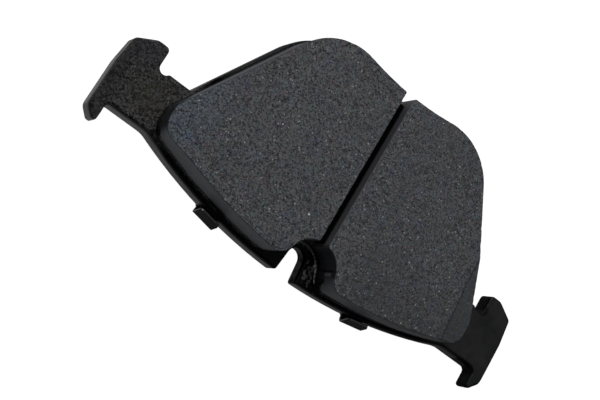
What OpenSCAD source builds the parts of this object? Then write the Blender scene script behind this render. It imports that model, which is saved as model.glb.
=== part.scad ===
// Disc brake pad with hammerhead lugs: stamped plate, moulded friction lining, laminated shim.
// Lies on its back. +Z points out of the friction face, +Y points away from the wheel axis.

/* [Backing plate] */
// width over both lugs
plate_w = 155; // [153:0.5:157]
// thickness of the steel
plate_t = 5.75; // [5:0.05:6.5]
// outer edge radius about the disc axis
plate_outer_r = 165; // [164.5:0.1:166]
// inner edge radius about the disc axis
plate_inner_r = 98.5; // [97.5:0.1:98.9]
// distance from the pad's middle to the disc axis
axis_drop = 131.6; // [131.4:0.1:131.8]
// radius of the mould-lock holes
lock_r = 5; // [4:0.1:6]

/* [Lugs] */
// height of the neck's outer edge
neck_top = 22.5; // [22:0.1:23]
// height of the neck's inner shoulder
neck_bottom = 4.87; // [4.4:0.01:5.2]
// outer tip of the lug
lug_top = 28.5; // [28:0.1:29]
// inner tip of the lug
lug_bottom = -1.45; // [-2:0.05:-1]
// inward hook face of the lug's inner half
hook_in_x = 66.05; // [65.5:0.05:66.6]
// inward hook face of the lug's outer half
hook_out_x = 72.9; // [72.3:0.1:73.3]

/* [Sensor notch] */
// half width of the notch at its mouth
notch_half = 3.9; // [3.6:0.1:4.2]
// radius of the notch's round end
notch_r = 3.2; // [3:0.1:3.5]
// height of the centre of the round end
notch_y = 26.8; // [26.4:0.1:27.2]
// radius of the clearance in the lining around the notch
recess_r = 8.4; // [8:0.1:8.8]
// height of the centre of that clearance
recess_y = 29.8; // [29.4:0.1:30.2]

/* [Lining] */
// outer radius of the lining about the disc axis
lining_outer_r = 163.5; // [163:0.1:164]
// inner radius of the lining about the disc axis
lining_inner_r = 99.6; // [99.2:0.1:100]
// thickness of the bonding film
bond_t = 0.15; // [0.1:0.01:0.2]
// thickness of the underlayer
under_t = 2.2; // [1.5:0.1:3]
// thickness of the friction material
friction_t = 10.5; // [8:0.1:12]
// width of the centre slot
slot_w = 3.2; // [2.4:0.1:4]
// where the end chamfer starts, from the middle
chamfer_x = 48; // [46:0.1:51]
// angle of the end chamfer
chamfer_angle = 21.5; // [15:0.5:25]

/* [Shim] */
// thickness of the adhesive film
glue_t = 0.1; // [0.1:0.01:0.15]
// thickness of the inner rubber coat
coat_in_t = 0.15; // [0.1:0.01:0.2]
// thickness of the steel core
core_t = 0.5; // [0.4:0.05:0.6]
// thickness of the outer rubber coat
coat_out_t = 0.15; // [0.1:0.01:0.2]
// how far the shim's edge sits inside the plate's edge
shim_inset = 1.6; // [1.4:0.1:2]
// width of the two tabs on the outer edge
tab_w = 7.8; // [7:0.1:9]
// distance of those tabs from the middle
tab_x = 29.15; // [28.5:0.1:30]
// height that the tabs reach above the plate's back
tab_h = 4.8; // [4:0.1:5]
// clear gap between the plate's edge and the foot of a tab
tab_gap = 1.45; // [1.4:0.05:1.6]
// lean of the tabs towards the plate
tab_lean = 13.5; // [8:0.5:14]
// width of the single tab on the inner edge
inner_tab_w = 12; // [10:0.1:14]

/* [Hidden] */
$fn = 96;
eps = 0.01;
// how far a rounding's circle passes the edges it joins, so that it crosses them cleanly
touch = 0.02;
shim_t = glue_t + coat_in_t + core_t + coat_out_t;
plate_z = shim_t;
bond_z = plate_z + plate_t;
under_z = bond_z + bond_t;
friction_z = under_z + under_t;
top_z = friction_z + friction_t;
axis = [0, -axis_drop];
// direction of the sloping sides, from the inner corner up to the shoulder
slope_angle = 60.1;
slope = [cos(slope_angle), sin(slope_angle)];
plate_slope_x = 51.85;
lining_slope_x = 50.6;
lining_end_x = 58;
plate_corner_r = 22;
lining_corner_r = 20;
lug_x = plate_w / 2;
lock_holes = [[14, 11], [38, 11], [27, -15]];
relief_r = 1.9;
bend_r = 0.45;
bend_steps = 12;
tab_corner_r = 1.2;

function unit(v) = v / norm(v);
function mirror_x(p) = [-p[0], p[1]];
// point of an arc about the disc axis, at a distance x from the middle
function on_arc(r, x) = [x, sqrt(r * r - x * x) - axis_drop];
// point a short way along that arc's tangent from p, towards the middle
function along_arc(p) = p + unit([axis[1] - p[1], p[0]]) * 20;
// point on a sloping side whose line crosses the X axis at x0
function on_slope(x0, y) = [x0 + y * slope[0] / slope[1], y];
// where two circles cross, on the side to the left of the line from a to b
function cross_circles(a, ra, b, rb) =
    let (d = norm(b - a), u = unit(b - a), s = (d * d + ra * ra - rb * rb) / (2 * d))
    a + u * s + [-u[1], u[0]] * sqrt(ra * ra - s * s);
// centre of a circle of radius r inside the corner of a sloping side and an inner arc
function inner_corner(x0, arc_r, r) =
    let (foot = [x0, 0] + [-slope[1], slope[0]] * r,
         rel = foot - axis,
         along = rel * slope,
         reach = sqrt(pow(arc_r + r, 2) - rel * rel + along * along))
    foot + slope * (reach - along);

module both_sides() {
    children();
    mirror([1, 0])
        children();
}

// sliver between a corner at b and the arc of radius r tangent to the edges towards a and c
module corner_piece(a, b, c, r) {
    u = unit(a - b);
    v = unit(c - b);
    half = acos(u * v) / 2;
    t = r / tan(half);
    centre = b + unit(u + v) * r / sin(half);
    out_u = unit(b + u * t - centre) * 0.3;
    out_v = unit(b + v * t - centre) * 0.3;
    difference() {
        polygon([centre, b + u * t, b + u * t + out_u, b - unit(u + v) * 0.4,
                 b + v * t + out_v, b + v * t]);
        translate(centre)
            circle(r + touch);
    }
}

// sliver cut off where a sloping side runs into an inner arc, rounded with radius r
module inner_corner_piece(x0, arc_r, r) {
    centre = inner_corner(x0, arc_r, r);
    on_side = centre + [slope[1], -slope[0]] * r;
    on_arc = centre + unit(axis - centre) * r;
    difference() {
        polygon([centre, on_side, on_side + [2, -2], [on_side[0], on_arc[1] - 12],
                 on_arc + [-2, -12], on_arc]);
        translate(centre)
            circle(r + touch);
    }
}

module arc_band(outer_r, inner_r) {
    difference() {
        translate(axis)
            circle(outer_r, $fn = 360);
        translate(axis)
            circle(inner_r, $fn = 360);
    }
}

module notch() {
    translate([0, notch_y])
        circle(notch_r);
    mouth = on_arc(plate_outer_r, notch_half);
    lip = mouth * 2 - [notch_r, notch_y];
    polygon([[-notch_r, notch_y], [notch_r, notch_y], lip, mirror_x(lip)]);
}

module lug() {
    difference() {
        polygon([[hook_in_x, lug_bottom], [70.3, lug_bottom], [76.5, 2], [lug_x, 10.5],
                 [lug_x, 25.6], [74.6, lug_top], [hook_out_x, lug_top], [hook_out_x, 20],
                 [hook_in_x, 20]]);
        corner_piece([hook_in_x, 9], [hook_in_x, lug_bottom], [90, lug_bottom], 1.4);
        corner_piece([hook_in_x, lug_bottom], [70.3, lug_bottom], [76.5, 2], 4);
        corner_piece([70.3, lug_bottom], [76.5, 2], [lug_x, 10.5], 1.5);
        corner_piece([lug_x, 10.5], [lug_x, 25.6], [74.6, lug_top], 2.5);
        corner_piece([lug_x, 25.6], [74.6, lug_top], [hook_out_x, lug_top], 1);
        corner_piece([74.6, lug_top], [hook_out_x, lug_top], [hook_out_x, 20], 0.8);
    }
}

// plate between the lugs: arc band with sloping sides
module plate_body() {
    difference() {
        intersection() {
            arc_band(plate_outer_r, plate_inner_r);
            polygon([on_slope(plate_slope_x, -50), on_slope(plate_slope_x, neck_top - 1),
                     [58.5, neck_top - 1], [58.5, 60], [-58.5, 60], [-58.5, neck_top - 1],
                     mirror_x(on_slope(plate_slope_x, neck_top - 1)),
                     mirror_x(on_slope(plate_slope_x, -50))]);
        }
        both_sides()
            inner_corner_piece(plate_slope_x, plate_inner_r, plate_corner_r);
    }
}

module plate_outline() {
    bend = [sqrt(pow(plate_outer_r, 2) - pow(neck_top + axis_drop, 2)), neck_top];
    shoulder = on_slope(plate_slope_x, neck_bottom);
    mouth = on_arc(plate_outer_r, notch_half);
    relief = [hook_in_x - relief_r, neck_bottom - 0.82];
    difference() {
        union() {
            plate_body();
            both_sides() {
                translate([45, neck_bottom])
                    square([hook_out_x - 45 + 0.5, neck_top - neck_bottom]);
                translate(relief)
                    square([relief_r + 0.5, 1]);
                lug();
                corner_piece([70, neck_bottom], shoulder, on_slope(plate_slope_x, 0), 1);
                corner_piece([60, neck_top], [hook_out_x, neck_top], [hook_out_x, 26], 1.5);
                corner_piece(along_arc(bend), bend, [70, neck_top], 8);
            }
        }
        notch();
        both_sides() {
            translate(relief)
                circle(relief_r + touch);
            corner_piece([notch_r, notch_y], mouth, mouth * 2 - along_arc(mouth), 0.7);
        }
    }
}

// centre of the rounding where the lining's outer edge turns into the recess
module recess_shoulder(r) {
    centre = cross_circles([0, recess_y], recess_r + r, axis, lining_outer_r - r);
    on_recess = centre + unit([0, recess_y] - centre) * r;
    on_edge = centre + unit(centre - axis) * r;
    difference() {
        polygon([centre, on_recess, [0, recess_y + 3], [0, recess_y + 6],
                 on_edge + [0, 2], on_edge]);
        translate(centre)
            circle(r + touch);
    }
}

module lining_outline() {
    tip = on_slope(lining_slope_x, 13.2);
    end = on_arc(lining_outer_r, lining_end_x);
    difference() {
        intersection() {
            arc_band(lining_outer_r, lining_inner_r);
            polygon([on_slope(lining_slope_x, -50), tip, end, end + [0, 20],
                     mirror_x(end + [0, 20]), mirror_x(end), mirror_x(tip),
                     mirror_x(on_slope(lining_slope_x, -50))]);
        }
        both_sides() {
            inner_corner_piece(lining_slope_x, lining_inner_r, lining_corner_r);
            corner_piece(on_slope(lining_slope_x, 0), tip, end, 5);
            corner_piece(tip, end, along_arc(end), 6);
            recess_shoulder(5);
        }
        translate([0, recess_y])
            circle(recess_r);
    }
}

module lock_pattern(r) {
    both_sides()
        for (p = lock_holes)
            translate(p)
                circle(r);
}

module backing_plate() {
    color([0.06, 0.06, 0.065])
        translate([0, 0, plate_z])
            linear_extrude(plate_t)
                difference() {
                    plate_outline();
                    lock_pattern(lock_r);
                }
}

module bond_film() {
    color([0.1, 0.09, 0.08])
        translate([0, 0, bond_z])
            linear_extrude(bond_t)
                difference() {
                    lining_outline();
                    lock_pattern(lock_r);
                }
}

module underlayer() {
    color([0.09, 0.09, 0.095]) {
        translate([0, 0, under_z])
            linear_extrude(under_t)
                lining_outline();
        translate([0, 0, plate_z])
            linear_extrude(plate_t + bond_t + eps)
                lock_pattern(lock_r);
    }
}

// everything on the +X side of the slot, with the end chamfer taken off
module friction_half() {
    difference() {
        translate([0, 0, friction_z])
            linear_extrude(friction_t)
                intersection() {
                    lining_outline();
                    translate([slot_w / 2, -60])
                        square([80, 120]);
                }
        translate([chamfer_x, 0, top_z])
            rotate([0, chamfer_angle, 0])
                translate([-5, -60, 0])
                    cube([40, 120, 20]);
    }
}

module friction_right() {
    color([0.25, 0.25, 0.26])
        friction_half();
}

module friction_left() {
    color([0.25, 0.25, 0.26])
        mirror([1, 0, 0])
            friction_half();
}

// flat outline of the shim, inside the plate's edge and open at the notch
module shim_outline() {
    outer_r = plate_outer_r - shim_inset;
    slope_x = plate_slope_x - 2;
    tip = on_slope(slope_x, 9);
    end = on_arc(outer_r, tip[0]);
    difference() {
        intersection() {
            arc_band(outer_r, plate_inner_r + shim_inset);
            polygon([on_slope(slope_x, -50), tip, end + [0, 10], mirror_x(end + [0, 10]),
                     mirror_x(tip), mirror_x(on_slope(slope_x, -50))]);
        }
        both_sides() {
            inner_corner_piece(slope_x, plate_inner_r + shim_inset, 20);
            corner_piece(on_slope(slope_x, 0), tip, end, 3);
            corner_piece(tip, end, along_arc(end), 3);
        }
        translate([0, notch_y])
            circle(notch_r + 1.5);
        translate([-notch_r - 1.5, notch_y])
            square([2 * notch_r + 3, 20]);
    }
}

function arc_points(r, from, to) =
    [for (i = [0:bend_steps]) let (a = from + (to - from) * i / bend_steps) r * [cos(a), sin(a)]];

// one layer of a tab, seen from its side: lead-in, bend and leaning wall
module tab_profile(low, high) {
    inner = bend_r + shim_t - high;
    outer = bend_r + shim_t - low;
    bend_x = tab_gap - bend_r - glue_t;
    lead = shim_inset + 1;
    wall = tab_h * [-sin(tab_lean), cos(tab_lean)];
    outer_arc = arc_points(outer, -90, tab_lean);
    inner_arc = arc_points(inner, tab_lean, -90);
    translate([bend_x, shim_t + bend_r])
        polygon(concat([[-lead, -outer]], outer_arc, [outer_arc[bend_steps] + wall],
                       [inner_arc[0] + wall], inner_arc, [[-lead, -inner]]));
}

// face of a tab, with its two upper corners rounded
module tab_face(width) {
    top = shim_t + tab_h;
    difference() {
        translate([-width / 2, -1])
            square([width, top + 1]);
        both_sides()
            corner_piece([width / 2, 0], [width / 2, top], [0, top], tab_corner_r);
    }
}

module tab(width, low, high) {
    intersection() {
        translate([-width / 2, 0, 0])
            rotate([90, 0, 90])
                linear_extrude(width)
                    tab_profile(low, high);
        translate([0, 10, 0])
            rotate([90, 0, 0])
                linear_extrude(20)
                    tab_face(width);
    }
    translate([0, 0, low])
        linear_extrude(high - low)
            tab_root(width);
}

// flat flare where a tab joins the sheet, measured from the plate's edge
module tab_root(width) {
    polygon([[-width / 2 - 1, -shim_inset - 0.3], [width / 2 + 1, -shim_inset - 0.3],
             [width / 2 + 1, -0.7], [width / 2, 0.3], [-width / 2, 0.3],
             [-width / 2 - 1, -0.7]]);
}

// the two outer tabs and the inner one, each set square to the edge it grips
module tabs(low, high) {
    for (side = [-1, 1])
        translate([0, -axis_drop, 0])
            rotate(-side * asin(tab_x / plate_outer_r))
                translate([0, plate_outer_r, 0])
                    tab(tab_w, low, high);
    translate([0, plate_inner_r - axis_drop, 0])
        rotate(180)
            tab(inner_tab_w, low, high);
}

module shim_layer(low, high) {
    translate([0, 0, low])
        linear_extrude(high - low)
            shim_outline();
    tabs(low, high);
}

module shim_adhesive() {
    color([0.75, 0.72, 0.6])
        translate([0, 0, shim_t - glue_t])
            linear_extrude(glue_t)
                shim_outline();
}

module shim_inner_rubber() {
    color([0.08, 0.08, 0.08])
        shim_layer(coat_out_t + core_t, shim_t - glue_t);
}

module shim_core() {
    color([0.55, 0.56, 0.58])
        shim_layer(coat_out_t, coat_out_t + core_t);
}

module shim_outer_rubber() {
    color([0.07, 0.07, 0.07])
        shim_layer(0, coat_out_t);
}

backing_plate();
bond_film();
underlayer();
friction_left();
friction_right();
shim_adhesive();
shim_inner_rubber();
shim_core();
shim_outer_rubber();
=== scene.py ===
import math

import bpy
import numpy as np
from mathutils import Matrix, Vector, noise
from mathutils.geometry import delaunay_2d_cdt


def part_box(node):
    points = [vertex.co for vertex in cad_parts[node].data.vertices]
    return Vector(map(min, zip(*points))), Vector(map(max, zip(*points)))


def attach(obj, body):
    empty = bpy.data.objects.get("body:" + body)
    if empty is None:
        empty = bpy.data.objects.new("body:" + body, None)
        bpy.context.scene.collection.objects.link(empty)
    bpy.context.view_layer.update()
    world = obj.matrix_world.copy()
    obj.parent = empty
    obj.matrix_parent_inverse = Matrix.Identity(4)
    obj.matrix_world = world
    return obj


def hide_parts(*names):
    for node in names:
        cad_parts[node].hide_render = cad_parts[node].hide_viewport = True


# The looks of a disc brake pad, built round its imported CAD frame. Places and lengths are in
# millimetres, in the same frame as the CAD, and MM turns them into metres. Only the studio at
# the end is laid out in metres.

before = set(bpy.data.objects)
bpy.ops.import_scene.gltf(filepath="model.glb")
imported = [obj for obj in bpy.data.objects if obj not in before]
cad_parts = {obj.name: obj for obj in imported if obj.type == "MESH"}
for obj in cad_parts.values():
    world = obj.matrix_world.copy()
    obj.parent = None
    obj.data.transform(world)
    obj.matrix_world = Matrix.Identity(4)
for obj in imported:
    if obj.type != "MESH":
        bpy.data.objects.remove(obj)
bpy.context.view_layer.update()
MM = 0.001
random = np.random.default_rng(11)
# where on the recess wall the parting ridge and the crease beside it stand, in degrees
RIDGE_TURN, CREASE_TURN = -18.5, -25.5
# height of the gentle waves in the moulded walls
WAVE = 0.035
# points of an outline above this Y lie on its outer edge
OUTER_EDGE = 20


# ---------------------------------------------------------------- outlines

def heights(node):
    """Lowest and highest Z of a CAD node."""
    low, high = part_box(node)
    return low[2] / MM, high[2] / MM


def cad_points(node):
    return np.array([v.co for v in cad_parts[node].data.vertices]) / MM


def cad_loops(node, z):
    """Outlines of a CAD node's flat faces at height z, largest first, all anticlockwise."""
    tolerance, decimals = 0.002, 3
    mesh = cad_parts[node].data
    mesh.calc_loop_triangles()
    points = cad_points(node)
    triangles = np.array([t.vertices for t in mesh.loop_triangles])
    flat = triangles[(np.abs(points[triangles][:, :, 2] - z) < tolerance).all(1)]
    xy, index = np.unique(np.round(points[:, :2], decimals), axis=0, return_inverse=True)
    edges = set()
    for a, b, c in index.ravel()[flat]:
        edges |= {(a, b), (b, c), (c, a)}
    following = {a: b for a, b in edges if (b, a) not in edges and a != b}
    loops = []
    while following:
        start, at = following.popitem()
        loop = [start]
        while at != start:
            loop.append(at)
            at = following.pop(at)
        loop = xy[loop]
        loops.append(loop if area(loop) > 0 else loop[::-1])
    return sorted(loops, key=area, reverse=True)


def area(loop):
    after = np.roll(loop, -1, 0)
    return float((loop[:, 0] * after[:, 1] - after[:, 0] * loop[:, 1]).sum() / 2)


def chamfer_start():
    """How far from the middle the chamfers of the friction blocks begin."""
    return np.abs(cad_loops("friction_left", heights("friction_left")[1])[0][:, 0]).max()


def recess():
    """Centre and radius of the round clearance in the lining behind the notch."""
    half_mouth, above = 7, 15
    loop = cad_loops("underlayer", heights("underlayer")[1])[0]
    arc = loop[(np.abs(loop[:, 0]) < half_mouth) & (loop[:, 1] > above)]
    bottom = arc[:, 1].min()
    # the centre is on the middle line, as far from the bottom as from the widest point
    x, y = arc[np.argmax(arc[:, 0])]
    middle = (x**2 + y**2 - bottom**2) / (2 * (y - bottom))
    return np.array([0, middle]), middle - bottom


def resample(loop, step):
    """The same closed outline with evenly spaced points."""
    closed = np.vstack([loop, loop[:1]])
    along = np.concatenate([[0], np.cumsum(np.linalg.norm(np.diff(closed, axis=0), axis=1))])
    count = int(round(along[-1] / step))
    at = np.arange(count) * along[-1] / count
    return np.stack([np.interp(at, along, closed[:, k]) for k in (0, 1)], 1)


def blur(values, sigma):
    """Gaussian blur of values round a closed outline; sigma is in points."""
    gain = np.exp(-2 * (math.pi * np.fft.rfftfreq(len(values)) * sigma) ** 2)
    return np.fft.irfft((np.fft.rfft(values, axis=0).T * gain).T, len(values), axis=0)


def softened(outline, step):
    """An outline resampled, with its corners eased by a fraction of a millimetre."""
    ease = 0.3
    return blur(resample(outline, step), ease / step)


def inward(loop):
    """Unit normals of an anticlockwise outline that point into it."""
    run = np.roll(loop, -1, 0) - np.roll(loop, 1, 0)
    run /= np.linalg.norm(run, axis=1, keepdims=True)
    return np.stack([-run[:, 1], run[:, 0]], 1)


def least_near(values, reach):
    """The least value within so many points of each point."""
    return np.min([np.roll(values, k) for k in range(-reach, reach + 1)], axis=0)


def room_inside(loop, wanted, step):
    """How far each point can move in, up to wanted, before it meets another stretch."""
    normal = inward(loop)
    room = np.full(len(loop), wanted)
    for share in np.linspace(1, 0.2, 9):
        depth = wanted * share
        moved = loop + normal * depth
        nearest = np.sqrt(((moved[:, None] - loop[None]) ** 2).sum(2)).min(1)
        room[nearest < 0.96 * depth] = 0.75 * depth
    reach = int(round(0.8 / step))
    return blur(least_near(room, 2 * reach), reach)


def inside(points, loops):
    """Which points lie inside the outlines, counting crossings, so a loop in a loop is a hole."""
    odd = np.zeros(len(points), bool)
    for loop in loops:
        for (x0, y0), (x1, y1) in zip(loop, np.roll(loop, -1, 0)):
            if y0 == y1:
                continue
            low, high = min(y0, y1), max(y0, y1)
            rows = (points[:, 1] >= low) & (points[:, 1] < high)
            cut = x0 + (points[rows, 1] - y0) * (x1 - x0) / (y1 - y0)
            odd[rows] ^= points[rows, 0] < cut
    return odd


# ---------------------------------------------------------------- relief

def field(points, size, seed):
    """Smooth noise from about -1 to 1, with features of the given size."""
    away = np.array([seed * 17.3, seed * 5.1, seed * 9.7])
    points = np.column_stack([points, np.zeros((len(points), 3 - points.shape[1]))])
    return np.array([noise.noise(Vector(p)) for p in points / size + away])


def pits(points, centres, radii, depths):
    """Depth of scattered round hollows at each point."""
    depth = np.zeros(len(points))
    for centre, radius, deep in zip(centres, radii, depths):
        near = np.abs(points - centre).max(1) < 2.5 * radius
        far = ((points[near] - centre) ** 2).sum(1) / radius**2
        depth[near] = np.maximum(depth[near], deep * np.exp(-far**2))
    return depth


# ---------------------------------------------------------------- meshes

class Shell:
    """A closed mesh made of rings of points, the walls between them and the caps on them."""

    def __init__(self):
        self.points = []
        self.faces = []
        self.paint = []

    def add(self, xy, z):
        first = len(self.points)
        self.points.extend(np.column_stack([xy, np.broadcast_to(z, len(xy))]).tolist())
        return np.arange(first, len(self.points))

    def wall(self, low, high, slot=0, inner=False):
        """Walls between two rings, facing out, or in round a hole."""
        for a, b, c, d in zip(low, np.roll(low, -1), np.roll(high, -1), high):
            self.faces.append((d, c, b, a) if inner else (a, b, c, d))
            self.paint.append(slot)

    def tube(self, rings, slot=0):
        for low, high in zip(rings, rings[1:]):
            self.wall(low, high, slot)

    def cap(self, rings, up=True, slot=0, extra=()):
        """Face over the first ring, with the others as holes and extra points inside it."""
        ids = np.concatenate([*rings, np.array(extra, int)])
        xy = np.array([self.points[i][:2] for i in ids])
        edges, first = [], 0
        for ring in rings:
            run = np.arange(first, first + len(ring))
            edges += zip(run.tolist(), np.roll(run, -1).tolist())
            first += len(ring)
        made = delaunay_2d_cdt([Vector(p) for p in xy], edges, [], 0, 1e-7)
        source = [found[0] if found else -1 for found in made[3]]
        triangles = np.array([[source[i] for i in t] for t in made[2]])
        triangles = triangles[(triangles >= 0).all(1)]
        loops = [np.array([self.points[i][:2] for i in ring]) for ring in rings]
        kept = triangles[inside(xy[triangles].mean(1), loops)]
        for a, b, c in ids[kept]:
            self.faces.append((a, b, c) if up else (c, b, a))
            self.paint.append(slot)

    def drilled_caps(self, bottom, top, holes, low, high):
        """Caps on the bottom and top rings, joined by the walls of the holes through them."""
        starts = [self.add(hole, low) for hole in holes]
        ends = [self.add(hole, high) for hole in holes]
        for start, end in zip(starts, ends):
            self.wall(start, end, inner=True)
        self.cap([bottom, *starts], up=False)
        self.cap([top, *ends])

    def slab(self, above, below):
        """A closed slab between two grids of points with the same rows and columns."""
        for grid, up in ((above, True), (below, False)):
            for a, b, c, d in zip(grid[:-1, :-1].flat, grid[:-1, 1:].flat,
                                  grid[1:, 1:].flat, grid[1:, :-1].flat):
                self.faces.append((d, c, b, a) if up else (a, b, c, d))
                self.paint.append(0)
        rim = [np.concatenate([grid[:-1, 0], grid[-1, :-1], grid[:0:-1, -1], grid[0, :0:-1]])
               for grid in (below, above)]
        self.wall(rim[0], rim[1])

    def build(self, name, materials, sharp=40):
        mesh = bpy.data.meshes.new(name)
        mesh.from_pydata((np.array(self.points) * MM).tolist(), [],
                         [tuple(int(i) for i in f) for f in self.faces])
        for material in materials:
            mesh.materials.append(material)
        mesh.polygons.foreach_set("material_index", self.paint)
        mesh.polygons.foreach_set("use_smooth", [True] * len(self.faces))
        mesh.set_sharp_from_angle(angle=math.radians(sharp))
        piece = bpy.data.objects.new(name, mesh)
        bpy.context.scene.collection.objects.link(piece)
        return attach(piece, "root")


# ---------------------------------------------------------------- shader nodes

def add_node(tree, kind, inputs=None, **settings):
    """A shader node with its settings, and with values or links in its inputs."""
    made = tree.nodes.new("ShaderNode" + kind)
    for name, value in settings.items():
        setattr(made, name, value)
    for name, value in (inputs or {}).items():
        if isinstance(value, bpy.types.NodeSocket):
            tree.links.new(value, made.inputs[name])
        else:
            made.inputs[name].default_value = value
    return made


class Look:
    """A Principled material and the nodes that feed it. Its x, y and z are the place in
    millimetres, and across is the distance from the middle plane."""

    def __init__(self, name, **sockets):
        self.data = bpy.data.materials.new(name)
        self.data.use_nodes = True
        self.tree = self.data.node_tree
        self.shader = self.tree.nodes["Principled BSDF"]
        for socket, value in sockets.items():
            self.shader.inputs[socket.replace("_", " ")].default_value = value
        self.place = self.node("TexCoord").outputs["Object"]
        split = self.node("SeparateXYZ", {"Vector": self.place})
        self.x, self.y, self.z = (self.math("MULTIPLY", s, 1 / MM) for s in split.outputs)
        self.across = self.math("ABSOLUTE", self.x)

    def node(self, kind, inputs=None, **settings):
        return add_node(self.tree, kind, inputs, **settings)

    def math(self, operation, a, b=0.0):
        return self.node("Math", {0: a, 1: b}, operation=operation).outputs[0]

    def both(self, first, *others):
        """The product of masks."""
        for other in others:
            first = self.math("MULTIPLY", first, other)
        return first

    def either(self, first, second):
        return self.math("MAXIMUM", first, second)

    def range(self, value, low, high, to_low=0.0, to_high=1.0):
        inputs = {"Value": value, "From Min": low, "From Max": high,
                  "To Min": to_low, "To Max": to_high}
        return self.node("MapRange", inputs).outputs["Result"]

    def vector(self, operation, a, b):
        return self.node("VectorMath", {0: a, 1: b}, operation=operation).outputs[0]

    def noise(self, size, detail=2.0, roughness=0.5, seed=0):
        """Noise with features of the given size."""
        inputs = {"Vector": self.moved(seed), "Scale": 1 / (size * MM),
                  "Detail": detail, "Roughness": roughness}
        return self.node("TexNoise", inputs).outputs["Fac"]

    def moved(self, seed):
        """The place, shifted so that a second pattern differs from the first."""
        if seed == 0:
            return self.place
        return self.vector("ADD", self.place, (seed, seed * 0.37, seed * 0.71))

    def away(self, x, y):
        """Distance from the upright line at x, y, in millimetres."""
        from_line = self.vector("SUBTRACT", self.place, (x * MM, y * MM, 0))
        level = self.vector("MULTIPLY", from_line, (1, 1, 0))
        length = self.node("VectorMath", {0: level}, operation="LENGTH").outputs["Value"]
        return self.math("MULTIPLY", length, 1 / MM)

    def stroke(self, start, end, width):
        """A soft straight mark between two points, seen from above."""
        start, end = np.array(start, float), np.array(end, float)
        length = np.linalg.norm(end - start)
        run = (end - start) / length
        reach = []
        for line in (run, np.array([-run[1], run[0]])):
            dot = self.node("VectorMath", {0: self.place, 1: (line[0] / MM, line[1] / MM, 0)},
                            operation="DOT_PRODUCT").outputs["Value"]
            offset = self.math("SUBTRACT", dot, float(line @ (start + end) / 2))
            reach.append(self.math("ABSOLUTE", offset))
        return self.both(self.range(reach[0], length / 2 - width, length / 2, 1, 0),
                         self.range(reach[1], width * 0.25, width * 0.7, 1, 0))

    def cells(self, spacing, seed):
        """Cells of the given spacing: the distance from their centres, and a random colour."""
        inputs = {"Vector": self.moved(seed), "Scale": 1 / (spacing * MM)}
        made = self.node("TexVoronoi", inputs)
        pick = self.node("SeparateColor", {"Color": made.outputs["Color"]})
        return made.outputs["Distance"], pick.outputs

    def grains(self, spacing, seed):
        """One random value from 0 to 1 for each grain of that size."""
        return self.cells(spacing, seed)[1]["Red"]

    def specks(self, spacing, share, radius, seed):
        """Specks: a share of cells of the given spacing hold one, of up to that radius."""
        distance, pick = self.cells(spacing, seed)
        chosen = self.math("LESS_THAN", pick["Red"], share)
        size = self.math("MULTIPLY", pick["Green"], radius / spacing)
        return self.both(chosen, self.math("LESS_THAN", distance, size))

    def mix(self, share, a, b, blend="MIX"):
        """Colour b over a."""
        made = self.node("Mix", {"Factor": share}, data_type="RGBA", blend_type=blend)
        for socket, value in zip([s for s in made.inputs if s.type == "RGBA"], (a, b)):
            if isinstance(value, bpy.types.NodeSocket):
                self.tree.links.new(value, socket)
            else:
                socket.default_value = (*value, 1)
        return [s for s in made.outputs if s.type == "RGBA"][0]

    def tinted(self, base, share, tints):
        """The base colour with soft patches of tint, each of a size, seed and colour."""
        for size, seed, tint in tints:
            patch = self.noise(size, 3, 0.6, seed)
            base = self.mix(self.range(patch, 0.5, 0.7, 0, share), base, tint, "MULTIPLY")
        return base

    def specked(self, base, mask, kinds):
        """The base colour with specks of several kinds where the mask lets them show."""
        for spacing, share, radius, seed, colour in kinds:
            specks = self.both(self.specks(spacing, share, radius, seed), mask)
            base = self.mix(specks, base, colour)
        return base

    def feed(self, **sockets):
        for socket, value in sockets.items():
            self.tree.links.new(value, self.shader.inputs[socket.replace("_", " ")])

    def bump(self, height, depth, strength=1.0):
        """Surface relief; depth is how high, in millimetres, a height of 1 stands."""
        made = self.node("Bump", {"Height": height, "Distance": depth * MM,
                                  "Strength": strength})
        self.feed(Normal=made.outputs["Normal"])


# ---------------------------------------------------------------- coat of the plate

PLATE_TOP = heights("backing_plate")[1]
# how far the ends of the lugs are from the middle
LUG_END = np.abs(cad_points("backing_plate")[:, 0]).max()
# stains in the dust on the +X lug: place, reach, share and colour
DUST_STAINS = [((63.7, 13), 7.5, 0.3, (0.050, 0.048, 0.030)),
               ((71.3, 2.3), 7, 0.35, (0.019, 0.018, 0.028))]
# colour casts in soft patches: size, seed and tint
COAT_TINTS = [(1.5, 4.3, (1.27, 0.95, 0.82)),
              (1.8, 7.7, (0.90, 0.93, 1.42))]
# kinds of speck: spacing, share of cells that hold one, largest radius, seed and colour
DUST_SPECKS = [(0.9, 0.25, 0.28, 3.1, (0.085, 0.083, 0.080)),
               (2.3, 0.2, 0.30, 8.7, (0.17, 0.165, 0.155))]


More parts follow.
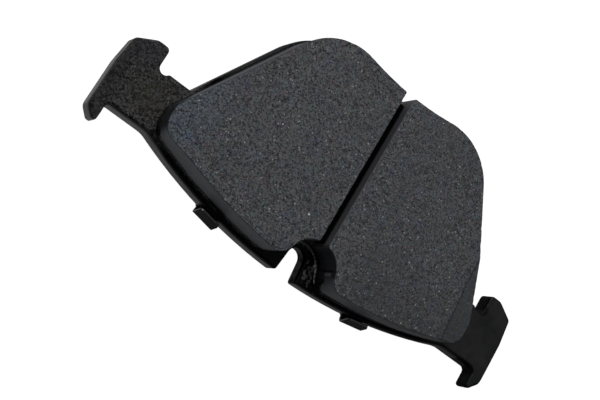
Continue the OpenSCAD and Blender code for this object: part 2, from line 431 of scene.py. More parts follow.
def powder_coat():
    """The plate's black coat: dusty on the +X lug, painted jet black round the lining as painted
    shade, with painted glints and dust specks there, worn at the ends of the lugs and duller along
    parts of the sheared sides."""
    look = Look("black_powder_coat")
    patches = look.noise(5, 3, 0.6)
    base = look.mix(look.range(patches, 0.3, 0.7), (0.0010, 0.0014, 0.0012),
                    (0.0150, 0.0138, 0.0146))
    on_top = look.range(look.z, PLATE_TOP - 0.35, PLATE_TOP - 0.05)
    dusty = look.both(look.range(look.x, 46, 55.5), on_top)
    base = look.mix(dust_film(look, patches, dusty), base, dust(look))
    base = look.tinted(base, 0.6, COAT_TINTS)
    base = look.specked(base, dusty, DUST_SPECKS)
    near_lining = look.range(look.across, 50.5, 54, 1, 0)
    # the ledge round the lining, which is painted jet black as painted shade
    shaded_ledge = look.both(near_lining, look.range(look.z, PLATE_TOP - 1.95, PLATE_TOP - 1.25))
    base = shaded_ledge_and_glints(look, base, shaded_ledge)
    base = worn_ends(look, base)
    look.feed(Base_Color=base)
    look.feed(Specular_IOR_Level=coat_gloss(look, dusty, shaded_ledge))
    look.feed(Roughness=look.range(look.noise(3, 3), 0.3, 0.7, 0.3, 0.42))
    look.bump(look.noise(0.7, 2), 0.03, 0.5)
    return look.data


def dust_film(look, patches, dusty):
    """How much dust covers the coat: it is patchy, and thinner towards the lug's end."""
    thinner = look.range(look.x, 71, 76.5, 1, 0.6)
    return look.both(look.range(patches, 0.32, 0.6, 0.7, 1), dusty, thinner)


def dust(look):
    """The colour of the dust: fine and coarse grains, and the stains in it."""
    dark, light = (0.0008, 0.0008, 0.0008), (0.094, 0.094, 0.090)
    core = 2
    base = look.mix(look.range(look.grains(0.46, 5.9), 0.2, 1), dark, light)
    base = look.mix(look.both(look.grains(0.9, 1.7), 0.3), base, (0.012, 0.012, 0.0115))
    for place, reach, share, colour in DUST_STAINS:
        base = look.mix(look.range(look.away(*place), core, reach, share, 0), base, colour)
    return base


def shaded_ledge_and_glints(look, base, shaded_ledge):
    """The ledge round the lining, painted jet black as painted shade, with pale specks on it:
    painted glints where the coat has run near the notch, and dust towards +X.
    """
    base = look.mix(shaded_ledge, base, (0.0025, 0.0025, 0.0028))
    near_notch = look.both(look.range(look.x, -26, -12, 0.15, 1),
                           look.range(look.x, -4, -2, 1, 0))
    strewn = look.math("ADD", near_notch, look.range(look.x, 12, 18, 0, 0.35))
    # pale specks: painted glints near the notch, dust towards +X
    glints_and_dust = look.both(look.specks(0.75, 0.32, 0.30, 6.1), shaded_ledge, strewn)
    return look.mix(glints_and_dust, base, (0.085, 0.085, 0.087))


def worn_ends(look, base):
    """The ends of the lugs, worn to a lighter, warmer grey, less so near the top."""
    at_end = look.range(look.across, LUG_END - 0.25, LUG_END - 0.08)
    worn = look.both(at_end, look.range(look.z, 3.2, 5.6, 1, 0.08))
    streaks = look.range(look.noise(0.8, 4, 0.7), 0.35, 0.65, 0.35, 1)
    return look.mix(look.both(worn, streaks), base, (0.245, 0.212, 0.188))


def coat_gloss(look, dusty, shaded_ledge):
    """Specular level of the coat, lower in the dust and along parts of the sheared sides."""
    # both sides of the -X half and the inner side of the +X half, short of the lugs
    left = look.both(look.range(look.x, -20, -30), look.range(look.x, -59, -57))
    right = look.both(look.range(look.y, 2, -2), look.range(look.x, 57, 55),
                      look.range(look.x, 3, 8))
    under_roll = look.range(look.z, PLATE_TOP - 0.65, PLATE_TOP - 1.45)
    sides = look.both(look.either(left, right), under_roll)
    notch = look.both(look.range(look.across, 4.3, 4.1), look.range(look.y, 21, 22),
                      look.range(look.z, PLATE_TOP - 0.05, PLATE_TOP - 0.15))
    streaks = look.range(look.noise(2.0, 3, 0.6), 0.38, 0.62, 0.34, 0.5)
    # the sides of the -X lug, whose inner hook reaches further in than the rest
    inner_hook = look.both(look.range(look.x, -62, -63), look.range(look.y, 8, 6))
    hooks = look.either(look.range(look.x, -65.5, -65.9), inner_hook)
    hooks = look.both(hooks, look.range(look.z, PLATE_TOP - 0.01, PLATE_TOP - 0.07))
    hook_root = look.both(look.range(look.away(-65.9, 4.5), 1.3, 2.3, 1, 0), 0.85)
    gloss = 0.5
    for dull, loss in ((dusty, 0.36), (shaded_ledge, 0.36), (sides, 0.42), (notch, streaks),
                       (look.either(hooks, hook_root), 0.46)):
        gloss = look.math("SUBTRACT", gloss, look.both(dull, loss))
    return gloss


# ---------------------------------------------------------------- friction lining

# paler greys low down on the moulded sides and on the resin under them, pale and paler
PALE_LOW_GREY = (0.245, 0.250, 0.272)
PALER_LOW_GREY = (0.40, 0.41, 0.45)

# colour casts and grains of the ground face, as for the coat; the grains are grey, dark, pale,
# white, brassy, coppery and green; the pale and white ones are steel and mineral grains with their
# sparkle painted in as painted glints
LINING_TINTS = [(2.2, 3.3, (0.81, 1.11, 1.05)),
                (2.4, 8.1, (1.24, 0.91, 0.95)),
                (3.5, 5.3, (0.84, 0.93, 1.32))]
LINING_SPECKS = [(0.8, 0.22, 0.28, 4.7, (0.30, 0.30, 0.31)),
                 (1.7, 0.16, 0.32, 3.9, (0.010, 0.010, 0.011)),
                 # pale and white: steel and mineral grains, their sparkle painted in as painted
                 # glints
                 (2.0, 0.16, 0.27, 7.9, (0.45, 0.45, 0.45)),
                 (5.2, 0.14, 0.30, 2.3, (0.75, 0.75, 0.75)),
                 (4.1, 0.10, 0.30, 9.1, (0.44, 0.37, 0.17)),
                 (4.3, 0.08, 0.30, 5.9, (0.36, 0.20, 0.18)),
                 (3.1, 0.10, 0.34, 6.7, (0.12, 0.24, 0.20))]


def ground_friction():
    """The ground face of the lining: grains of many kinds, calmer on the -X chamfer."""
    look = Look("ground_friction_lining", Specular_IOR_Level=0.25)
    crease = chamfer_start()
    # the -X crease drifts outwards towards the outer edge; beyond it this distance is negative
    drift = look.range(look.y, 4, 23, 0, 1.9)
    from_crease = look.math("ADD", look.math("ADD", look.x, crease), drift)
    # the -X chamfer was ground in a separate pass, which left it smoother
    smooth = look.range(from_crease, -0.3, 0, 0.6, 0)
    fine = look.grains(0.38, 0.7)
    base = look.mix(smooth, grained(look, fine), (0.074, 0.081, 0.081))
    right_chamfer = look.range(look.x, crease - 4, crease + 4)
    base = look.mix(right_chamfer, base, (0.90, 1.0, 1.10), "MULTIPLY")
    left_block = look.range(look.x, 4, -12, 0, 0.12)
    base = look.mix(left_block, base, (0.068, 0.069, 0.072))
    base = look.tinted(base, 0.55, LINING_TINTS)
    base = scored(look, base, from_crease)
    base = look.specked(base, look.range(smooth, 0, 0.6, 1, 0.35), LINING_SPECKS)
    look.feed(Base_Color=base)
    matrix = look.noise(0.6, 4, 0.75)
    look.feed(Roughness=look.range(matrix, 0.3, 0.7, 0.65, 0.9))
    look.bump(look.math("ADD", look.math("MULTIPLY", fine, 0.5), matrix), 0.05, 0.5)
    return look.data


def grained(look, fine):
    """Fine and coarse grains, under soft clouds that even them out."""
    base = look.mix(fine, (0.001, 0.001, 0.0011), (0.174, 0.176, 0.184))
    coarse = look.mix(look.grains(0.6, 2.9), (0.010, 0.0105, 0.011), (0.155, 0.158, 0.165))
    base = look.mix(0.2, base, coarse)
    cloud = look.range(look.noise(7, 3, 0.6), 0.4, 0.6, 0, 0.15)
    return look.mix(cloud, base, (0.070, 0.072, 0.076))


def scored(look, base, from_crease):
    """The line along the -X crease, and a shade and a scuff on the -X block."""
    line = look.range(look.math("ABSOLUTE", from_crease), 0.1, 0.5, 0.6, 0)
    base = look.mix(line, base, (0.012, 0.012, 0.012))
    shade = look.both(look.range(look.x, -8, -16), look.range(look.y, 8, 24, 0, 0.3))
    base = look.mix(shade, base, (0.028, 0.029, 0.030))
    scuff = look.both(look.stroke((-28.2, -23.2), (-33.7, -17.2), 1.0), 0.5)
    return look.mix(scuff, base, (0.016, 0.0165, 0.017))


def past_recess(look):
    """How far a place is outside the round wall of the recess."""
    centre, radius = recess()
    return look.math("SUBTRACT", look.away(*centre), radius)


def lining_skin():
    """Moulded sides of the lining, black where the plate's coat laps up over their foot and, as
    painted shadow, low in the slot.
    """
    look = Look("moulded_lining_skin", Specular_IOR_Level=0.5, Specular_Tint=(0.86, 0.93, 1, 1))
    away = past_recess(look)
    middle = recess()[0][1]
    fine = look.noise(0.4, 3, 0.6)
    slope = look.both(look.range(look.x, 25, 35), look.range(look.y, 10, 5))
    hollow = look.both(look.range(away, 0.7, 1.2, 1, 0),
                       look.range(look.y, middle - 2.2, middle - 1, 1, 0))
    # the slot is cut through to the bare lining, shown streaked in its upper part; lower down its
    # wall is painted black as painted shadow
    in_slot = look.both(look.range(look.across, 2.3, 2.8, 1, 0), look.range(away, 0.1, 0.8))
    cut = look.range(look.z, 14.9, 16.4)
    streaks = look.mix(look.noise(0.8, 3, 0.7), (0.070, 0.069, 0.076), (0.150, 0.147, 0.156))
    # painted shadow: the slot's wall painted black below the line where the near lip's shadow falls
    painted_slot_shadow = look.both(in_slot, look.math("SUBTRACT", 1.0, cut))
    coat_and_slot_shadow = look.either(coat_lap(look, slope, away), painted_slot_shadow)

    base = skin_tones(look, fine, slope)
    base = look.mix(look.both(in_slot, cut), base, streaks)
    base = look.mix(coat_and_slot_shadow, base, (0.0035, 0.0035, 0.004))
    base = recess_wall(look, base, hollow)
    look.feed(Base_Color=base)
    look.feed(Roughness=look.math("ADD", look.range(coat_and_slot_shadow, 0, 1, 0.42, 0.17),
                                  look.both(hollow, 0.3)))
    dulled = look.either(hollow, look.both(slope, look.range(look.z, 14, 18.5, 0, 0.9)))
    look.feed(Specular_IOR_Level=look.range(dulled, 0, 1, 0.5, 0.12))
    look.bump(fine, 0.04, 0.4)
    return look.data


def skin_tones(look, fine, slope):
    """The moulded skin, paler low down on the -X side, with darker parts."""
    cloud = look.range(look.noise(2.6, 3, 0.6), 0.35, 0.65)
    base = look.mix(cloud, (0.017, 0.019, 0.027), (0.036, 0.040, 0.054))
    base = look.mix(look.range(fine, 0.5, 0.7, 0, 0.8), base, (0.068, 0.073, 0.088))
    # paler low down on the -X side, and paler still further towards -X
    pale_low = look.both(look.range(look.x, -9, -28), look.range(look.z, 14, 9.5), 0.9)
    base = look.mix(pale_low, base, PALE_LOW_GREY)
    paler_low = look.both(look.range(look.x, -32, -42), look.range(look.z, 12.5, 9.5), 0.8)
    base = look.mix(paler_low, base, PALER_LOW_GREY)
    # darker above the paler part, towards the top of the +X slope and at both ends
    upper = look.both(look.range(look.x, -22, -34), look.range(look.z, 12.5, 16, 0, 0.55),
                      look.range(look.z, 18, 19, 1, 0.3))
    base = look.mix(upper, base, (0.008, 0.008, 0.009))
    slope_top = look.both(slope, look.range(look.z, 14, 18.5, 0, 0.6))
    base = look.mix(slope_top, base, (0.004, 0.004, 0.004))
    return look.mix(look.range(look.across, 56.6, 57.5, 0, 0.7), base, (0.006, 0.006, 0.006))


def coat_lap(look, slope, away):
    """Where the coat laps up over the foot: higher round the recess, lower on the +X slope
    and towards -X, with a ragged upper edge."""
    lap = look.math("ADD", look.range(away, 0.5, 1.4, 3.1, 0),
                    look.range(look.x, -38, -18, 7.0, 9.9))
    lap = look.math("ADD", lap, look.both(slope, -1.6))
    ragged = look.range(look.noise(1.1, 4, 0.65), 0.3, 0.7, -0.8, 0.8)
    above = look.math("SUBTRACT", look.z, look.math("ADD", lap, ragged))
    return look.range(above, -0.5, 0.7, 1, 0)


def recess_wall(look, base, hollow):
    """The darker wall of the recess: a streaky patch of painted light on its +X side, painted shade
    in its crease, and a pale band on its ridge, partly a scraped line and partly a painted highlight.
    """
    olive = look.mix(look.range(look.x, -3.5, -1), (0.020, 0.020, 0.027), (0.060, 0.060, 0.047))
    base = look.mix(look.both(hollow, 0.72), base, olive)
    # painted light: a paler streaky patch on the +X side of the wall
    painted_light_patch = look.both(hollow, look.range(look.x, 0.3, 1.5), look.range(look.z, 10.5, 13.5, 0, 0.9))
    streaky = look.range(look.noise(1.2, 3, 0.6), 0.35, 0.65)
    base = look.mix(painted_light_patch, base, look.mix(streaky, (0.030, 0.027, 0.024), (0.170, 0.155, 0.140)))
    # painted shade in the crease
    crease = wall_band(look, CREASE_TURN, 0.5, 9.5, 18)
    base = look.mix(crease, base, (0.001, 0.001, 0.001))
    # a pale band on the ridge: partly a scraped line, partly a painted highlight
    ridge = wall_band(look, RIDGE_TURN, 0.75, 12.6, 17)
    return look.mix(ridge, base, (0.115, 0.113, 0.120))


def wall_band(look, turn, width, low, high):
    """An upright band on the -X side of the recess wall, fading over a short height."""
    fade = 0.6
    centre, radius = recess()
    side = radius * math.cos(math.radians(turn)), radius * math.sin(math.radians(turn))
    line = look.away(centre[0] - side[0], centre[1] + side[1])
    return look.both(look.range(line, width * 0.35, width, 1, 0),
                     look.range(look.z, low, low + fade), look.range(look.z, high - fade, high, 1, 0))


# ---------------------------------------------------------------- resin, coats and steel

def black_resin():
    """The base layer of the lining; the paler grey of the sides reaches down over it towards -X."""
    look = Look("black_resin", Specular_IOR_Level=0.25)
    cloud = look.noise(1.6, 4, 0.65)
    base = look.mix(cloud, (0.0028, 0.0028, 0.003), (0.0065, 0.0062, 0.0058))
    base = look.mix(look.range(look.x, -12, -34, 0, 0.8), base, PALE_LOW_GREY)
    base = look.mix(look.range(look.x, -34, -42, 0, 0.8), base, PALER_LOW_GREY)
    look.feed(Base_Color=base)
    # the floor of the slot is dull towards its inner end
    slot_end = look.away(0, -33)
    look.feed(Specular_IOR_Level=look.range(slot_end, 3, 10, 0.02, 0.25))
    look.feed(Roughness=look.range(cloud, 0.35, 0.65, 0.15, 0.3))
    look.bump(look.noise(0.5, 3, 0.6), 0.05, 0.6)
    return look.data


def squeezed_resin():
    """The resin bead, with a painted highlight where it shows round the notch."""
    look = Look("squeezed_resin", Specular_IOR_Level=0.5)
    cloud = look.noise(0.8, 3, 0.6)
    base = look.mix(cloud, (0.0028, 0.0028, 0.003), (0.0065, 0.0062, 0.0058))
    # painted highlight: the bead's pale colour round the notch
    pale = look.mix(look.range(cloud, 0.35, 0.65), (0.05, 0.05, 0.05), (0.55, 0.545, 0.54))
    base = look.mix(look.range(past_recess(look), 0.3, 1, 1, 0), base, pale)
    look.feed(Base_Color=base)
    look.feed(Roughness=look.range(cloud, 0.35, 0.65, 0.2, 0.4))
    look.bump(look.noise(0.5, 3, 0.6), 0.06, 0.5)
    return look.data


def wet_coat():
    """Glossy coat that ran over the plate, with pale patches of painted reflection on it."""
    look = Look("glossy_black_coat", Specular_IOR_Level=0.5)
    cloud = look.noise(1.2, 3, 0.6)
    base = look.mix(cloud, (0.0012, 0.0012, 0.0013), (0.006, 0.006, 0.006))
    # painted reflection: pale patches on the glossy runs
    painted_reflection = look.range(look.noise(1.9, 4, 0.65, 5.7), 0.46, 0.58)
    base = look.mix(painted_reflection, base, (0.078, 0.078, 0.079))
    look.feed(Base_Color=base)
    look.feed(Roughness=look.range(cloud, 0.35, 0.65, 0.12, 0.3))
    look.bump(look.noise(0.4, 3, 0.6), 0.05, 0.4)
    return look.data


def rubber_coat():
    look = Look("nitrile_coat", Specular_IOR_Level=0.25)
    cloud = look.noise(7, 4, 0.6)
    base = look.mix(cloud, (0.010, 0.010, 0.010), (0.016, 0.016, 0.0165))
    base = look.mix(look.specks(1.3, 0.2, 0.2, 8.3), base, (0.05, 0.05, 0.05))
    look.feed(Base_Color=base)
    look.feed(Roughness=look.range(cloud, 0.3, 0.7, 0.55, 0.75))
    look.bump(look.noise(0.3, 3, 0.6), 0.03, 0.6)
    return look.data


def shim_steel():
    look = Look("shim_steel", Metallic=1.0)
    streaks = look.noise(0.5, 3, 0.7)
    look.feed(Base_Color=look.mix(streaks, (0.20, 0.20, 0.20), (0.42, 0.41, 0.39)))
    look.feed(Roughness=look.range(streaks, 0.3, 0.7, 0.35, 0.6))
    look.bump(streaks, 0.02, 0.5)
    return look.data


def adhesive():
    look = Look("acrylic_adhesive", Specular_IOR_Level=0.5)
    cloud = look.noise(1.2, 3, 0.6)
    look.feed(Base_Color=look.mix(cloud, (0.10, 0.09, 0.07), (0.17, 0.15, 0.11)))
    look.feed(Roughness=look.range(cloud, 0.3, 0.7, 0.35, 0.55))
    return look.data


# ---------------------------------------------------------------- plate

def plate(material):
    """The stamped plate: rolled upper edge, broken lower edge, mould-lock holes."""
    step, rim = 0.45, 0.25
    broken, sheared_height, roll_height = 0.12, 0.015, 1.45
    low, high = heights("backing_plate")
    outlines = cad_loops("backing_plate", high)
    loop = softened(outlines[0], step)
    normal = inward(loop)
    roll = die_roll(loop, step)
    burr = np.minimum(broken, room_inside(loop, 0.3, step))
    shell = Shell()

    def ring(inset, z):
        return shell.add(loop + normal * inset[:, None], z)

    rings = []
    for turn in np.radians([0, 30, 60, 90]):
        rings.append(ring(burr * (1 - np.sin(turn)), low + burr * (1 - np.cos(turn))))
    start, end = low + broken, high - roll_height
    for share in (0.3, 0.6, 0.9, 1):
        sheared = sheared_height * (1 + field(loop, 2.5, 2 + share))
        rings.append(ring(sheared, start + (end - start) * share))
    drop = (high - end) * np.minimum(1, roll / 1.1)
    for turn in np.radians([15, 30, 45, 60, 75, 90]):
        inset = roll * (1 - np.cos(turn)) + sheared_height
        rings.append(ring(inset, high - drop * (1 - np.sin(turn))))
    rings.append(ring(roll + rim, high))
    shell.tube(rings)
    holes = [resample(hole, step) for hole in outlines[1:]]
    shell.drilled_caps(rings[0], rings[-1], holes, low, high)
    piece = shell.build("pad_plate", [material])
    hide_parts("backing_plate")


def die_roll(loop, step):
    """How far the upper edge is rolled in, which is most along the outer (+Y) edges."""
    shallow, deeper, widest, in_the_notch = 0.4, 0.85, 1.25, 0.22
    outer_edge = np.clip(-inward(loop)[:, 1] / 0.5, 0, 1)
    roll = shallow + blur(outer_edge, 1.2 / step) * deeper
    roll = np.minimum(roll, room_inside(loop, widest, step)) * (1 + 0.08 * field(loop, 9, 1))
    # the notch is pierced afterwards, so its edge stays sharp
    in_notch = np.exp(-(loop[:, 0] / 4.6) ** 8) * (loop[:, 1] > OUTER_EDGE)
    return roll * (1 - in_notch) + in_the_notch * in_notch


# ---------------------------------------------------------------- friction blocks

def friction_block(node, name, worn, parting, cracked, face, skin):
    """One ground block: moulded walls, worn and chipped edges, a grainy face with pits.
    worn is how far the slot's inner corner is rounded off, parting the height of the line
    left on the recess wall and cracked the depth of the crack along the outer edge."""
    step, bevel, gap = 0.36, 0.24, 0.42
    crack_middle, crack_reach = 17, 9
    low = heights(node)[0]
    top = ground_top(node)
    loop = block_outline(node, worn, step)
    normal = inward(loop)
    edge = chipped_edge(loop, step)
    shell = Shell()
    walls = moulded_walls(shell, loop, low, top(loop[:, 0]) - edge, parting)
    shell.tube(walls, slot=1)
    rings = [walls[-1]]
    for turn in np.radians([25, 50, 75, 90]):
        moved = loop + normal * (WAVE + edge * (1 - np.cos(turn)))[:, None]
        rings.append(shell.add(moved, top(moved[:, 0]) - edge * (1 - np.sin(turn))))
    shell.tube(rings[:3], slot=1)
    shell.tube(rings[2:])
    rim = loop + normal * (edge + bevel)[:, None]
    along = (np.abs(loop[:, 0]) - crack_middle) / crack_reach
    crack = cracked * np.exp(-along**6) * (loop[:, 1] > OUTER_EDGE)
    rings.append(shell.add(rim, top(rim[:, 0]) - crack))
    shell.tube(rings[-2:])
    spots = pitted_face(shell, loop, loop + normal * (edge + gap)[:, None], top)
    shell.cap([rings[-1]], extra=spots)
    shell.cap([walls[0]], up=False, slot=1)
    piece = shell.build(name, [face, skin], sharp=60)
    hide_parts(node)


def ground_top(node):
    """The height of a block's ground face and chamfer, as a function of X."""
    high = heights(node)[1]
    points = cad_points(node)
    crease = chamfer_start()
    outer = np.abs(points[:, 0]).max()
    tip = points[np.abs(points[:, 0]) > outer - 0.01][:, 2].max()
    slant = (high - tip) / (outer - crease)
    return lambda x: high - np.maximum(0, np.abs(x) - crease) * slant


def block_outline(node, worn, step):
    """The outline of a block, with the inner corner at the slot rounded off."""
    loop = softened(cad_loops(node, heights(node)[0])[0], step)
    slot_end = loop[np.argmin(loop[:, 1] + np.abs(loop[:, 0]) * 1.2)]
    near = np.exp(-((loop - slot_end) ** 2).sum(1) / (1.6 * worn) ** 2)[:, None]
    return loop * (1 - near) + blur(loop, worn / step) * near


def chipped_edge(loop, step):
    """How wide the worn upper edge is at each point, wider where it has chipped."""
    chips = np.maximum(0, field(loop, 1.3, 5) - 0.25)
    edge = np.clip(0.26 + 0.06 * field(loop, 2.2, 4) + 0.7 * chips, 0.15, 0.6)
    return np.minimum(edge, room_inside(loop, 0.6, step))


def moulded_walls(shell, loop, low, foot, parting):
    """Rings from the foot of a block up to where its worn edge begins, with gentle waves, and
    with the ridge and the crease that the mould's parting line left on the recess wall."""
    normal = inward(loop)
    centre, radius = recess()
    turn = np.degrees(np.arctan2(loop[:, 1] - centre[1], np.abs(loop[:, 0])))
    in_recess = np.linalg.norm(loop - centre, axis=1) < radius + 0.1
    rings, rows = [], 25
    for share in np.linspace(0, 1, rows):
        z = low + (foot - low) * share
        waves = WAVE * (1 + field(np.column_stack([loop, z]), 1.6, 7))
        ridge = upright_mark(turn - RIDGE_TURN, 3, z - low - 5.2, 2.2) * in_recess
        groove = upright_mark(turn - CREASE_TURN, 2, z - low - 4.7, 4.4) * in_recess
        moved = waves + parting * (1.3 * groove - ridge)
        rings.append(shell.add(loop + normal * moved[:, None], z))
    return rings


def upright_mark(aside, width, above, reach):
    """A mark on a wall, 1 at its middle and 0 beyond its width (in degrees) and its reach."""
    return np.exp(-(aside / width) ** 2 - (above / reach) ** 4)


def pitted_face(shell, loop, rim, top):
    """Jittered points inside the rim, with pits, grain and the line where the chamfer begins."""
    spacing, jitter, count = 0.3, 0.09, 150
    x, y = np.meshgrid(np.arange(loop[:, 0].min(), loop[:, 0].max(), spacing),
                       np.arange(loop[:, 1].min(), loop[:, 1].max(), spacing))
    spots = np.column_stack([x.ravel(), y.ravel()])
    spots += random.uniform(-jitter, jitter, spots.shape)
    spots = spots[inside(spots, [rim])]
    centres = random.uniform(loop.min(0), loop.max(0), (count, 2))
    radii = random.uniform(0.25, 0.8, count)
    depths = random.uniform(0.05, 0.28, count)
    hollows = pits(spots, centres, radii, depths)
    grain = 0.035 * (1 + field(spots, 0.55, 8)) + 0.02 * (1 + field(spots, 0.3, 9))
    step_line = 0.07 * np.exp(-((np.abs(spots[:, 0]) - chamfer_start()) / 0.3) ** 2)
    return shell.add(spots, top(spots[:, 0]) - (hollows + grain + step_line))


# ---------------------------------------------------------------- resin layers

def first_crossing(edge, centre, ray):
    """How far along a ray from the centre it first crosses an outline."""
    across = np.roll(edge, -1, 0) - edge
    cross = ray[0] * across[:, 1] - ray[1] * across[:, 0]
    cross[cross == 0] = 1e-9
    away = edge - centre
    reach = (away[:, 0] * across[:, 1] - away[:, 1] * across[:, 0]) / cross
    share = (away[:, 0] * ray[1] - away[:, 1] * ray[0]) / cross
    return reach[(share >= 0) & (share <= 1) & (reach > 0)].min()


def resin_runs(material):
    """Coat and resin that ran out over the plate between the lining and the notch."""
    centre, radius = recess()
    edge = cad_loops("backing_plate", PLATE_TOP)[0]
    turns = np.radians(np.arange(166, 290, 1.5))
    rows, short_of_wall, end_fade = 26, 0.6, 0.14
    highest, sunk, thickness = 0.42, 0.02, 0.12
    xy = []
    for turn in turns:
        ray = np.array([math.cos(turn), math.sin(turn)])
        # they stop short of the notch, further from its inner end than from its side
        kept_off = np.interp(math.degrees(turn), [215, 245], [0.3, 0.9])
        start = first_crossing(edge, centre, ray) + kept_off
        xy.append([centre + ray * r for r in np.linspace(start, radius - short_of_wall, rows)])
    xy = np.array(xy).reshape(-1, 2)
    inward_share = np.tile(np.linspace(0, 1, rows), len(turns))
    from_end = np.minimum(turns - turns[0], turns[-1] - turns)
    ends = np.repeat(np.minimum(1, from_end / end_fade), rows)
    blobs = np.maximum(0, 0.35 + 1.6 * field(xy, 1.5, 21) + 0.5 * field(xy, 0.6, 22))
    high = 0.3 * blobs * np.minimum(1, inward_share * 3.5) * (0.4 + 0.6 * inward_share)
    high = np.minimum(high, highest) * ends
    shape = (len(turns), rows)
    shell = Shell()
    above = shell.add(xy, PLATE_TOP - sunk + high).reshape(shape)
    below = shell.add(xy, PLATE_TOP - thickness).reshape(shape)
    shell.slab(above, below)
    piece = shell.build("resin_runs", [material], sharp=80)


def underlayer(material):
    """The black base layer of the lining, with the plugs that fill the mould-lock holes."""
    step, swell, waves = 0.4, 0.09, 0.05
    low = heights("bond_film")[1]
    plug_foot, high = heights("underlayer")
    loop = softened(cad_loops("underlayer", high)[0], step)
    normal = inward(loop)
    shell = Shell()
    rings = []
    for share in np.linspace(0, 1, 7):
        z = low + (high - low) * share
        bulge = -swell * math.sin(math.pi * min(1, share + 0.25))
        bulge += waves * field(np.column_stack([loop, np.full(len(loop), z)]), 1.2, 12)
        rings.append(shell.add(loop + normal * bulge[:, None], z))
    shell.tube(rings)
    holes = [resample(hole, step) for hole in cad_loops("underlayer", plug_foot)]
    necks = [shell.add(hole, low) for hole in holes]
    feet = [shell.add(hole, plug_foot) for hole in holes]
    for foot, neck in zip(feet, necks):
        shell.wall(foot, neck)
        shell.cap([foot], up=False)
    shell.cap([rings[0], *necks], up=False)
    shell.cap([rings[-1]])
    piece = shell.build("lining_underlayer", [material])
    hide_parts("underlayer")


def bond_line(material):
    """The resin film under the lining, squeezed out in an uneven bead along its foot."""
    step, sunk, lap = 0.4, 0.02, 0.3
    low, high = heights("bond_film")
    outlines = cad_loops("bond_film", high)
    loop = softened(outlines[0], step)
    normal = inward(loop)
    near_notch = np.exp(-(loop[:, 0] / 9) ** 4) * (loop[:, 1] > 10)
    uneven = 1 + 0.35 * field(loop, 1.1, 17)
    spread = np.maximum(0.05, 0.16 + 0.16 * field(loop, 2.4, 15)) + 0.5 * near_notch * uneven
    tall = np.maximum(0.06, 0.2 + 0.16 * field(loop, 1.7, 16)) + 0.2 * near_notch
    shell = Shell()
    rings = []
    # up the bead: the share of its spread that is left, and the share of its height
    for out, up in ((1, 0), (0.75, 0.25), (0.45, 0.5), (0.2, 0.8), (0, 1)):
        z = low - sunk + (tall + sunk) * up
        rings.append(shell.add(loop - normal * (spread * out)[:, None], z))
    rings.append(shell.add(loop + normal * lap, high))
    shell.tube(rings)
    holes = [resample(hole, step) for hole in outlines[1:]]
    shell.drilled_caps(rings[0], rings[-1], holes, low, high)
    piece = shell.build("bond_line", [material], sharp=80)
    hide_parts("bond_film")


def paint_cad(node, material):
    """Keep a CAD node as it is, with a material of its own."""
    node_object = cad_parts[node]
    node_object.data.materials.clear()
    node_object.data.materials.append(material)


# ---------------------------------------------------------------- studio

# the camera: its place in metres, its turn in degrees, its lens and its sensor in millimetres
CAMERA_PLACE = (0.1398, 0.1062, 0.3348)
CAMERA_TURN = (1.017, -26.229, -146.528)
CAMERA_LENS = 73.43
CAMERA_SENSOR = 36

# the floor: half its side and how far it lies under the pad, in metres, and how strongly it
# lights the pad from its -X and its +X end
FLOOR_REACH = 4.0
FLOOR_DROP = 0.0003
FLOOR_GLOW = 0.08, 0.33

# the room: the direction in which it is brightest, the cosine at which it is darkest, how
# bright it is at that edge and at its brightest, and its tint
ROOM_ZENITH = (-0.1, -0.45, 0.887)
ROOM_EDGE = 0.55
ROOM_DIM, ROOM_BRIGHT = 0.02, 0.25
ROOM_TINT = (0.93, 0.97, 1, 1)

# soft boxes: where each stands in metres, its side, its power in watts and its tint
SOFT_BOXES = [((0.2, -0.7, 0.95), 0.45, 6.2, (0.98, 0.99, 1)),
              ((0.66, -0.24, 0.85), 0.25, 1.85, (1, 1, 0.99))]


def add_camera(scene):
    camera = bpy.data.objects.new("camera", bpy.data.cameras.new("camera"))
    camera.data.lens = CAMERA_LENS
    camera.data.sensor_width = CAMERA_SENSOR
    camera.data.clip_start = 0.01
    camera.location = CAMERA_PLACE
    camera.rotation_euler = [math.radians(turn) for turn in CAMERA_TURN]
    scene.collection.objects.link(camera)
    scene.camera = camera


def pale_floor():
    """White to the camera, but only a soft light on the pad's sides, stronger from +X."""
    look = Look("pale_floor", Base_Color=(0.14, 0.14, 0.14, 1), Roughness=0.9,
                Specular_IOR_Level=0.1, Emission_Color=(1, 1, 1, 1))
    half_pad = 80
    shade = look.range(look.x, -half_pad, half_pad, *FLOOR_GLOW)
    seen = look.node("LightPath").outputs["Is Camera Ray"]
    glow = look.node("Mix", {"Factor": seen, "A": shade, "B": 1.0})
    look.feed(Emission_Strength=glow.outputs["Result"])
    return look.data


def add_floor(scene):
    mesh = bpy.data.meshes.new("floor")
    corners = [(x * FLOOR_REACH, y * FLOOR_REACH, -FLOOR_DROP)
               for x, y in ((-1, -1), (1, -1), (1, 1), (-1, 1))]
    mesh.from_pydata(corners, [], [(0, 1, 2, 3)])
    mesh.materials.append(pale_floor())
    floor = bpy.data.objects.new("floor", mesh)
    scene.collection.objects.link(floor)


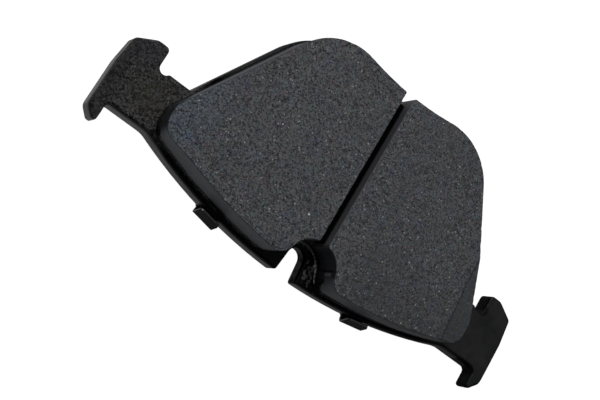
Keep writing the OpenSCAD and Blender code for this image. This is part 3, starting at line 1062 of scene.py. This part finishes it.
def add_room(scene):
    """Light from all round, brightest overhead and dark at the horizon; the camera sees white."""
    world = bpy.data.worlds.new("studio")
    scene.world = world
    world.use_nodes = True
    tree = world.node_tree
    tree.nodes.clear()
    heading = add_node(tree, "TexCoord").outputs["Generated"]
    facing = add_node(tree, "VectorMath", {0: heading, 1: ROOM_ZENITH}, operation="DOT_PRODUCT")
    limits = {"Value": facing.outputs["Value"], "From Min": ROOM_EDGE, "From Max": 1.0,
              "To Min": ROOM_DIM, "To Max": ROOM_BRIGHT}
    rise = add_node(tree, "MapRange", limits, interpolation_type="SMOOTHSTEP")
    room = add_node(tree, "Background", {"Color": ROOM_TINT,
                                         "Strength": rise.outputs["Result"]})
    backdrop = add_node(tree, "Background", {"Color": (1, 1, 1, 1), "Strength": 1.0})
    seen = add_node(tree, "LightPath").outputs["Is Camera Ray"]
    chosen = add_node(tree, "MixShader", {"Fac": seen, 1: room.outputs[0],
                                          2: backdrop.outputs[0]})
    add_node(tree, "OutputWorld", {"Surface": chosen.outputs[0]})


def add_soft_boxes(scene):
    for k, (place, side, power, tint) in enumerate(SOFT_BOXES):
        light = bpy.data.lights.new(f"soft_box_{k}", "AREA")
        light.shape = "SQUARE"
        light.size = side
        light.energy = power
        light.color = tint
        holder = bpy.data.objects.new(light.name, light)
        holder.location = place
        holder.rotation_mode = "QUATERNION"
        holder.rotation_quaternion = (-Vector(place)).to_track_quat("-Z", "Y")
        scene.collection.objects.link(holder)


def studio():
    scene = bpy.context.scene
    scene.view_settings.view_transform = "Standard"
    add_camera(scene)
    add_floor(scene)
    add_room(scene)
    add_soft_boxes(scene)


ground_face = ground_friction()
skin = lining_skin()
rubber = rubber_coat()
plate(powder_coat())
friction_block("friction_left", "lining_block_left", worn=0.7, parting=0.26, cracked=0,
               face=ground_face, skin=skin)
friction_block("friction_right", "lining_block_right", worn=0.35, parting=0, cracked=0.22,
               face=ground_face, skin=skin)
underlayer(black_resin())
bond_line(squeezed_resin())
resin_runs(wet_coat())
paint_cad("shim_adhesive", adhesive())
paint_cad("shim_inner_rubber", rubber)
paint_cad("shim_outer_rubber", rubber)
paint_cad("shim_core", shim_steel())
studio()
